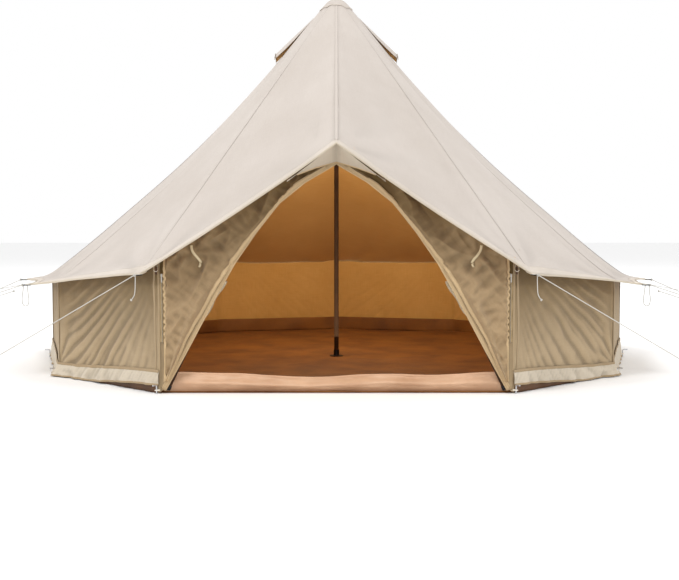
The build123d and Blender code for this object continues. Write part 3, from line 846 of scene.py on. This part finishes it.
for angle, side in ((90, "right"), (270, "left")):
    r, x, y = wedge(angle, *HOOD)
    out = np.array(at(angle, 1))
    middle = roof_heights(out[0] * r, out[1] * r)
    ridge_z = np.interp(r, HOOD[0], [roof_z(*(out * HOOD[0][0])[:2]) + 0.004, HOOD_Z])
    lift = np.maximum(ridge_z - middle, 0.003) * (1 - np.abs(v) ** 2.2) + 0.002
    lift += 0.05 * u**2 * np.abs(v) ** 3 + 0.004 * u * np.sin(v * 7 + 1.0) * (1 - v**2)
    hood_grid = np.stack(np.broadcast_arrays(x, y, roof_heights(x, y) + lift), axis=-1)
    hood = cloth(f"vent_hood_{side}", hood_grid, canvas_roof, canvas_inside_glow, flip=True)
    own(hood, "canvas", "vent_hoods")
    lip = own(band(f"vent_hood_lip_{side}", hood_grid[-1], out, 0.02, hem_roof, 0.003), "hem")
    r, x, y = wedge(angle, *VENT)
    net_grid = np.stack(np.broadcast_arrays(x, y, roof_heights(x, y) + 0.0025), axis=-1)
    vent = cloth(f"vent_mesh_{side}", net_grid, net, None, 0.0008, flip=True)
    own(vent, "mesh", "vent_meshes")


# ---- walls ----
# a panel is known by the compass angle of its first corner
PANEL_COLS, WALL_ROWS = 88, 62
PANEL = 2 * WALL_R * sin(radians(15))
DOOR_PANELS = (30, 300)
WINDOW_PANELS = {120: "right", 210: "left"}
WINDOW = (0.17, 0.865, 0.215, 0.5)  # along the panel, and up


def wall_folds(k, along, up):
    """How far a wall panel's cloth stands off its plane, along it and up it."""
    along, up = np.broadcast_arrays(along, up)
    mirrored = k >= 180
    u = (PANEL - along if mirrored else along) / PANEL
    seed = (330 - k) * 0.71 + 5.0 if mirrored else k * 0.71
    # how deep each kind of fold is: far deeper on the panels beside the door
    at_door, elsewhere = (0.0078, 0.0022, 0.009, 0.011), (0.0009, 0.0003, 0.002, 0.008)
    fold, small, pucker, slack = at_door if k in DOOR_PANELS else elsewhere
    # folds that fan from above the door's corner down to the far foot
    turn = np.arctan2(1.05 - up, (u + 0.28) * PANEL)
    bite = ramp(0.02, 0.2, u) * ramp(1.0, 0.72, u) * ramp(0.0, 0.06, up) * ramp(0.72, 0.3, up)
    phase = turn * 100 + 2.6 * wobble(u * 2.2, up * 3, seed, 2) + 3 * np.sin(turn * 9 + seed) + seed
    crest = 1 - 2 * np.sqrt(np.sin(phase / 2) ** 2 + 0.045)
    uneven = 0.5 + 1.1 * np.abs(wobble(turn * 9, up * 1.5, seed + 2, 2))
    off = fold * bite * crest * uneven * (0.4 + 0.8 * ramp(0.15, 0.75, u))
    off += small * bite * np.sin(phase * 1.9 + seed) * ramp(0.2, 0.6, u)
    # short puckers that spread from the far foot
    foot = np.hypot((1 - u) * PANEL, up - 0.06)
    lean = np.arctan2(up - 0.06, (1 - u) * PANEL + 0.02)
    off += pucker * np.exp(-foot / 0.24) * ramp(0.03, 0.14, foot) * np.sin(lean * 15 + seed)
    # gathers along the foot, and slack under the eave
    off += 0.0025 * ramp(0.2, 0.05, up) * np.sin(along * 46 + 3 * wobble(along * 3, 0, seed, 2))
    off += slack * wobble(along * 2.4, up * 2.4, seed + 9, 4)
    off -= 0.01 * 4 * u * (1 - u) * ramp(0.0, 0.3, up)
    pinned = ramp(0, 0.02, u) * ramp(0, 0.02, 1 - u)
    return off * pinned


def wall_steps():
    """Every column of cloth round the wall: its panel and its share of the way along."""
    for k in range(30, 330, 30):
        for i in range(PANEL_COLS + (k == 300)):
            yield k, i / PANEL_COLS


def on_panel(k, along, up, off=0.0):
    """Points on a wall panel's plane, or off it."""
    a, b = np.array(at(k, WALL_R)), np.array(at(k + 30, WALL_R))
    f, up, off = (np.asarray(x, float)[..., None] for x in (np.divide(along, PANEL), up, off))
    return a * (1 - f) + b * f + up * np.array(UP) + off * np.array(at(k + 15, 1))


wall_columns, window_faces = [], []
for k, f in wall_steps():
    foot = on_panel(k, PANEL * f, 0)
    up = np.linspace(0.004, 1, WALL_ROWS) * (roof_z(foot[0], foot[1]) - 0.004)
    wall_columns.append(on_panel(k, PANEL * f, up, wall_folds(k, PANEL * f, up)))
    middle = PANEL * (f + 0.5 / PANEL_COLS)
    window_faces.append(k in WINDOW_PANELS and WINDOW[0] <= middle <= WINDOW[1])
wall = np.stack(wall_columns, axis=1)
middle_z = (wall[:-1, :-1, 2] + wall[1:, 1:, 2]) / 2
hole = np.array(window_faces[:-1]) & (middle_z > WINDOW[2]) & (middle_z < WINDOW[3])
wall_cloth = own(
    cloth("wall_canvas_cloth", wall, canvas_wall_shaded, canvas_inside_glow, WALL_THICK, hole=hole),
    "canvas", "wall_canvas")

# stitched seams at the wall's corners, and the strips beside the door
wall_bands = [(f"wall_seam_{k}", k, i * PANEL_COLS, 0.016) for i, k in enumerate(CORNERS)]
beside_door = round(0.03 / PANEL * PANEL_COLS)
wall_bands += [("wall_edge_30", 45, beside_door, 0.02),
               ("wall_edge_300", 315, 10 * PANEL_COLS - beside_door, 0.02)]
wall_extras = []
for name, facing, column, width in wall_bands:
    out = np.array(at(facing, 1))
    line = wall[1:, column] + out * 0.0012
    wall_extras.append(band(name, line, out, width, hem_wall_shaded, 0.002))
wall_seams = own(joined("wall_seams", wall_extras), "canvas")

# windows: net in the opening, its hem outside, and a cover hung inside
window_hems = []
for k, name in WINDOW_PANELS.items():
    x0, x1, z0, z1 = WINDOW
    inward = at(k + 15, -1)
    along = np.linspace(x0 - 0.02, x1 + 0.02, 40)
    along, up = np.meshgrid(along, np.linspace(z0 - 0.02, z1 + 0.02, 20))
    sag = wall_folds(k, along, up) + 0.002
    window = cloth(f"window_mesh_{name}", on_panel(k, along, up, sag), net, None, 0.0006)
    own(window, "mesh", "window_meshes")
    corners = [(x0, z0), (x1, z0), (x1, z1), (x0, z1), (x0, z0)]
    for side_at, ((ax, az), (bx, bz)) in enumerate(zip(corners, corners[1:])):
        over = 0 if side_at % 2 else 0.02  # the level hems run past the upright ones
        t = np.linspace(-over, 1 + over, 30)
        along, up = ax + (bx - ax) * t, az + (bz - az) * t
        line = on_panel(k, along, up, wall_folds(k, along, up) + 0.0035)
        hem = band(f"window_hem_{name}_{side_at}", line, -inward, 0.036, hem_wall_shaded, 0.0024)
        window_hems.append(hem)
    u, v = np.meshgrid(np.linspace(0, 1, 46), np.linspace(0, 1, 26))
    foot_z = 0.18  # the cover's lower edge
    along, up = x0 - 0.03 + (x1 - x0 + 0.06) * u, foot_z + (z1 + 0.03 - foot_z) * v
    slack = 0.005 * (1 - v) * np.sin(u * 17 + 2 * wobble(u * 3, v * 2, k, 2)) + 0.012 * (1 - v) * v
    slack = wall_folds(k, along, up) - 0.011 - np.abs(slack)
    grid = on_panel(k, along, up, slack)
    cover = cloth(f"window_cover_{name}", grid, canvas_inside_glow, canvas_inside_glow)
    own(cover, "canvas", f"window_cover_{name}")
    line = on_panel(k, along[0], up[0], slack[0] - 0.002)
    cover_hem = band(f"window_cover_hem_{name}", line, inward, 0.024, zip_tape, 0.004)
    own(cover_hem, "hem")
window_hem = own(joined("window_hems", window_hems), "hem")

# the flap along the wall's foot, wavy at its loose edge and flared at the front corners
FLAP_TOP, FLAP_ROWS = 0.125, 12
FLAP_DIP, FLARE, FLARE_WIDE = 0.045, 0.03, 0.11
skirt_columns = []
v = np.linspace(0, 1, FLAP_ROWS)
for k, f in wall_steps():
    u = 1 - f if k >= 180 else f
    low, top, flare = 0.01, FLAP_TOP, 0
    if k in DOOR_PANELS:
        low = max(low, 0.05 * float(ramp(0.9, 0.0, u)))
        top = FLAP_TOP - FLAP_DIP * ramp(0.0, 1.0, u)
        flare = FLARE * v * np.exp(-(((u - 1) / FLARE_WIDE) ** 2))
    elif k in (60, 270):
        top = FLAP_TOP - FLAP_DIP * ramp(0.3, 0.0, u)
        flare = FLARE * v * np.exp(-((u / FLARE_WIDE) ** 2))
    up = top + (low - top) * v
    phase = k * 0.13 + 9 * f
    wave = v**1.4 * (0.006 * np.sin(phase * 3.1) + 0.004 * np.sin(phase * 7.7 + 2) + 0.009)
    pucker = 0.006 if k in DOOR_PANELS else 0.003
    pucker = pucker * np.sin(phase * 11 + 5 * v) * ramp(0, 0.25, v) * ramp(1.0, 0.5, v)
    # square to the panel along its middle, and out along the corner at its ends
    near, far = (np.exp(-((g * PANEL / 0.1) ** 2)) for g in (f, 1 - f))
    away = sum(np.array(at(angle, 1)) * share for angle, share in (
        (k + 15, 1 - near - far), (k, near), (k + 30, far)))
    off = 0.008 + wall_folds(k, PANEL * f, up) + wave + np.abs(pucker) + flare
    skirt_columns.append(on_panel(k, PANEL * f, up) + np.outer(off, away))
skirt = np.stack(skirt_columns, axis=1)
mud_flap = cloth("mud_flap_cloth", skirt, canvas_piping, canvas_wall_shaded, 0.003, flip=True)
own(mud_flap, "hem", "mud_flap")
out = -normals_of(skirt)[0]
flap_seam = own(band("mud_flap_seam", skirt[0] + out * 0.001, out, 0.016, hem_wall_shaded, 0.0024), "hem")
flap_hem = own(band("mud_flap_hem", skirt[-1], out, 0.012, hem_wall_shaded, 0.003), "hem")


# ---- gable, door head and door flaps ----
# half of the doorway's outline, from the sill over the knee to the peak
OPENING = [(0.978, 0.02), (0.845, 0.26), (0.69, 0.55), (0.58, 0.743),
           (0.46, 0.915), (0.33, 1.08), (0.18, 1.2), (0.0, 1.305)]


def on_gable(points):
    """Points (x, z) set on the gable's plane."""
    return np.array([(x, GABLE_Y, z) for x, z in points])


def under_awning(xs, gap, y=GABLE_Y):
    """Points a gap below the roof, on a plane across the front."""
    return [(x, roof_z(x, y) - gap) for x in xs]


def both_halves(points):
    """A line from one side to the middle, carried on to the other side."""
    return points + [(-x, z) for x, z in points[-2::-1]]


top_line = [(0.999, 0.004), (0.999, 0.45)] + under_awning((0.999, 0.8, 0.6, 0.4, 0.2, 0), 0.012)
grid = ruled(on_gable(both_halves(OPENING)), on_gable(both_halves(top_line)), 14, 141)
grid[..., 1] -= 0.005 * wobble(grid[..., 0] * 3, grid[..., 2] * 3, 4.0, 3) + 0.001
gable = cloth("front_gable_cloth", grid, canvas_wall_shaded, canvas_inside_glow, flip=True)
own(gable, "canvas", "front_gable")
gable_hem = own(band("front_gable_hem", grid[0], FRONT, 0.03, hem_door, 0.004), "hem")

# a small head of cloth closes the gap from the door's peak forward to the awning's edge
HEAD_LOW = [(0.27, 1.206), (0.25, 1.216), (0.21, 1.233), (0.12, 1.268), (0.0, 1.303)]
HEAD_Y = -1.89  # its upper edge
head_low = np.array([(x, GABLE_Y - 0.02 - 0.11 * x / 0.27, z) for x, z in HEAD_LOW])
head_top = np.array([(x, HEAD_Y, roof_z(x, HEAD_Y) - 0.006) for x, _ in HEAD_LOW])
edges = (np.concatenate([p, (p * (-1, 1, 1))[-2::-1]]) for p in (head_low, head_top))
grid = ruled(*edges, 10, 61)
grid[..., 1] += 0.006 * wobble(grid[..., 0] * 6, grid[..., 2] * 6, 7.0, 2)
door_head = own(cloth("door_head", grid, canvas_piping, None, flip=True), "canvas")
head_hem = own(band("door_head_hem", grid[0, 6:55], FRONT, 0.01, hem_door, 0.003), "hem")


def folded(x, z, seed):
    """Crumple of a heavy flap that is pulled aside and tied: soft ridges that break and cross."""
    slant = x * 0.8 + z * 0.62
    cross = z * 0.8 - x * 0.62
    ridges = 1 - np.abs(wobble(slant * 8, cross * 3, seed, 2)) * 2.4
    small = 1 - np.abs(wobble(cross * 13, slant * 6, seed + 3, 2)) * 2.4
    return 0.018 * ridges + 0.009 * small + 0.01 * wobble(x * 3, z * 3, seed + 5, 2)


FLAP_INNER = [(0.96, 0.07), (0.845, 0.32), (0.74, 0.5), (0.69, 0.595), (0.6, 0.73), (0.53, 0.83),
              (0.435, 0.945), (0.32, 1.085), (0.22, 1.18), (0.06, 1.28)]
FLAP_OUTER = [(0.968, 0.066), (0.962, 0.4), (0.966, 0.6)]
FLAP_OUTER += under_awning((0.966, 0.8, 0.6, 0.4, 0.2, 0.09), 0.034, GABLE_Y - 0.02)
TIE_AT = (0.79, 0.79)
BEND_AT = (0.6, 0.73)
FLAP_ACROSS, FLAP_ALONG = 84, 200
ZIP_X, ZIP_LOW, ZIP_HIGH = 0.982, 0.29, 0.68
TOOTH = (0.0018, 0.0009, 0.0013)  # half of a zip tooth's size
CUBE = [(x, y, z) for z in (-1, 1) for x, y in ((-1, -1), (1, -1), (1, 1), (-1, 1))]
CUBE_FACES = [(0, 3, 2, 1), (4, 5, 6, 7), (0, 1, 5, 4), (1, 2, 6, 5), (2, 3, 7, 6), (3, 0, 4, 7)]


def polar(x, z, centre):
    """Distance and direction from a point of the flap."""
    x, z = x - centre[0], z - centre[1]
    return np.hypot(x, z), np.arctan2(z, x)


for side, name in ((1, "right"), (-1, "left")):
    grid = ruled(on_gable(FLAP_INNER), on_gable(FLAP_OUTER), FLAP_ACROSS, FLAP_ALONG)
    x, z = grid[..., 0].copy(), grid[..., 2].copy()
    across = np.linspace(0, 1, FLAP_ACROSS)[:, None]
    forward = 0.014 + folded(x, z, 11.0 + side) * ramp(0, 0.12, across) * ramp(1.0, 0.93, across)
    # the tie pinches the cloth, and folds run from it
    away, around = polar(x, z, TIE_AT)
    forward -= 0.012 * np.exp(-((away / 0.06) ** 2))
    spokes = ramp(0.02, 0.1, away) * np.sin(around * 7 + side * 0.6)
    forward += 0.012 * np.exp(-away / 0.16) * spokes
    # a roll of cloth along the edge by the opening, fuller below the knee
    forward += 0.016 * np.exp(-(((across - 0.16) / 0.1) ** 2)) * ramp(1.0, 0.6, z)
    # creases across the knee, where the edge turns
    away, around = polar(x, z, BEND_AT)
    forward += 0.008 * np.exp(-away / 0.12) * np.sin(away * 70 + around * 2)
    # ruffles beside the zip
    zip_side = ramp(0.82, 1.0, across) * ramp(ZIP_LOW - 0.03, ZIP_LOW + 0.04, z)
    zip_side = zip_side * ramp(ZIP_HIGH + 0.05, ZIP_HIGH - 0.03, z)
    forward += 0.004 * zip_side * np.sin(z * 190) + 0.003 * zip_side
    grid[..., 1] = GABLE_Y - np.clip(forward, 0.003, 0.075)
    ruffle = 0.004 * zip_side * np.sin(z * 170 + 1)
    grid[..., 0] = side * (x + ruffle + 0.004 * wobble(z * 9, across * 2, 20, 2))
    door = cloth(f"door_flap_{name}_cloth", grid, canvas_flap_shaded, canvas_inside_glow, HEAVY_CANVAS,
                 flip=side > 0)
    own(door, "canvas", f"door_flap_{name}")
    inner, outer = grid[0] + (0, -0.0015, 0), grid[-1] + (0, -0.0015, 0)
    inner_hem = own(band(f"door_flap_hem_{name}", inner, FRONT, 0.022, hem_door, 0.0045), "hem")
    outer_hem = own(band(f"door_flap_edge_{name}", outer, FRONT, 0.014, hem_door, 0.0035), "hem")
    # the webbing tie round the gathered flap
    t = np.linspace(0, 1, 24)
    tie_x, tie_z = 0.812 - 0.045 * t + 0.008 * np.sin(t * 5), 0.838 - 0.1 * t
    nearest = [np.argmin((np.abs(grid[..., 0]) - a) ** 2 + (grid[..., 2] - b) ** 2)
               for a, b in zip(tie_x, tie_z)]
    tie_y = np.pad(grid[..., 1].ravel()[nearest], 4, mode="edge")
    tie_y = np.convolve(tie_y, np.ones(9) / 9, mode="valid") - 0.006
    line = np.stack([side * tie_x, tie_y, tie_z], axis=1)
    tie = band(f"door_tie_{name}", line, FRONT, 0.014, webbing_cream, 0.0022)
    own(tie, "webbing", "door_ties")
    tail_y = tie_y[-1] - 0.003 - 0.006 * np.sin(t * 3)
    tail = np.stack([side * (0.767 - 0.004 * np.sin(t * 4)), tail_y, 0.738 - 0.022 * t], 1)
    tie_end = own(band(f"door_tie_end_{name}", tail, FRONT, 0.011, webbing_cream, 0.002), "webbing")

    # the insect net, rolled up along the opening behind the gable
    t = np.linspace(0, 1, 60)[:, None]
    line = np.array((0.945, 0, 0.14)) * (1 - t) + np.array((0.64, 0, 0.64)) * t
    line[:, 1] = GABLE_Y + 0.052
    line[:, 0] = side * (line[:, 0] + 0.003 * np.sin(t[:, 0] * 25))
    sideways = np.cross(unit(np.gradient(line, axis=0)), (0, 1, 0))
    around = np.linspace(0, 2 * pi, 29)[:-1]
    fat = 0.024 * (1 + 0.05 * np.sin(t * 22) + 0.1 * np.sin(3 * around[None] + t * 9))
    ring = (line[:, None] + sideways[:, None] * (fat * np.cos(around))[..., None]
            + np.array((0, 1, 0)) * (0.55 * fat * np.sin(around))[..., None])
    ring = np.concatenate([ring, ring[:, :1]], axis=1)
    roll = cloth(f"mesh_door_roll_{name}", ring, net, None, 0.0012, closed=True, flip=side < 0)
    own(roll, "mesh", "mesh_door")

    # the zip: its tape and teeth
    rows = np.arange(ZIP_LOW, ZIP_HIGH, 0.004)
    zip_y = GABLE_Y - 0.0035 + 0.0012 * np.sin(rows * 60)
    line = np.stack([np.full(len(rows), side * ZIP_X), zip_y, rows], axis=1)
    tape = band(f"zip_tape_{name}", line, FRONT, 0.022, zip_tape, 0.0016)
    own(tape, "zip_tape", "door_zips")
    teeth = []
    for i, p in enumerate(line):
        middle = p + ((-1) ** i * 0.0011, -0.0014, 0)
        verts = middle + np.array(CUBE) * TOOTH
        teeth.append(new_object("tooth", verts, CUBE_FACES, [zip_metal]))
    own(joined(f"zip_teeth_{name}", teeth), "zip_metal")

    # the loop that holds the toggle
    t = np.linspace(0, 2 * pi, 40, endpoint=False)
    centre = np.array((side * 1.013, GABLE_Y - 0.0225, 0.712))
    loop_x = 0.011 * np.sin(t) * (1.1 - 0.5 * np.cos(t))
    line = centre + np.stack([loop_x, 0.004 * np.cos(t), 0.021 * np.cos(t)], 1)
    loop = sweep(f"toggle_loop_{name}", line, repeated((0.0, 1.0, 0.0), 40), repeated(UP, 40),
                 round_profile(0.0018, 6), webbing_white, closed=True)
    own(loop, "webbing")


# ---- groundsheet ----
SHEET_R, UPSTAND, SHEET = WALL_R - 0.014, 0.11, 0.003
DOOR_Y = -SHEET_R * cos(radians(30))  # the sheet's straight edge at the door
SIDE_STEPS = 24
outline = []
for k in range(30, 330, 30):
    a, b = np.array(at(k, SHEET_R)), np.array(at(k + 30, SHEET_R))
    outline += [a * (1 - i / SIDE_STEPS) + b * (i / SIDE_STEPS) for i in range(SIDE_STEPS)]
outline += [np.array((SHEET_R * 0.5 * (2 * i / 60 - 1), DOOR_Y, 0)) for i in range(61)]
outline = np.array(outline)
share = np.linspace(0.002, 1, 70)[:, None, None]
grid = outline * share
x, y = grid[..., 0], grid[..., 1]
ripple = 0.5 + 0.5 * wobble(x * 1.3 + 3, y * 2.6, 2.0, 4)
folds = np.exp(-((wobble(x * 0.8, y * 0.8, 8.0, 2) * 7) ** 2))
clear = ramp(0.06, 0.16, np.hypot(x, y)) * ramp(1.0, 0.97, share[..., 0])
grid[..., 2] = SHEET + 0.0005 + clear * (0.006 * ripple + 0.009 * folds)
floor_cloth = cloth("groundsheet_cloth", grid, floor_shaded_glow, edge_shaded, 0.0012, flip=True)
own(floor_cloth, "groundsheet", "groundsheet_floor")

v = np.linspace(0, 1, 12)[:, None]
rim = outline[:10 * SIDE_STEPS + 1]
ripple = 0.006 * np.sin(np.arange(len(rim)) * 0.6 + 2 * v) * v + 0.012 * v * (1 - v)
height = SHEET + v * (UPSTAND - SHEET)
grid = rim - unit(rim) * (0.004 + ripple)[..., None] + np.array(UP) * height[..., None]
upstand = cloth("groundsheet_edge", grid, edge_shaded, floor_shaded_glow, 0.0012)
own(upstand, "groundsheet", "groundsheet_upstand")

# the sill across the doorway stands up by itself, and sags
SILL_COLS, SILL_ROWS = 160, 22
u, v = np.linspace(-1, 1, SILL_COLS)[None, :], np.linspace(0, 1, SILL_ROWS)[:, None]
tall = UPSTAND - 0.004 - 0.03 * ramp(0.95, 0.4, np.abs(u)) * (0.7 + 0.3 * np.cos(u * 7 + 1))
tall = tall - 0.05 * ramp(0.93, 1.0, np.abs(u))
belly = 0.03 * np.sin(v * pi) ** 1.2 * (1 - u**8) + 0.014 * wobble(u * 5, v * 2.5, 14.0, 3) * v
long_fold = 0.009 * np.exp(-(((v - 0.55 - 0.05 * np.sin(u * 4)) / 0.12) ** 2)) * (1 - u**6)
lean = 0.018 * v * (1 - u**10)
x, y = u * (SHEET_R * 0.5 - 0.006), DOOR_Y + 0.03 - belly - long_fold + lean
grid = np.stack(np.broadcast_arrays(x, y, SHEET + 0.001 + v * (tall - SHEET)), -1)
sill = own(cloth("groundsheet_sill", grid, sill_tan, floor_shaded_glow), "groundsheet")
sill_hem = band("groundsheet_sill_hem", grid[-1], FRONT, 0.016, sill_tan, 0.004)
own(sill_hem, "groundsheet")

# the tray's edge, seen under the wall's foot, darkened with painted shade
along, up = np.meshgrid(np.linspace(0.01, PANEL - 0.01, 40), np.linspace(0.002, 0.07, 5))
for k in DOOR_PANELS:
    grid = on_panel(k, along, up, 0.0035 + wall_folds(k, along, up))
    part = cloth(f"groundsheet_tray_{k}", grid, edge_shaded, None, 0.001, flip=True)
    own(part, "groundsheet")
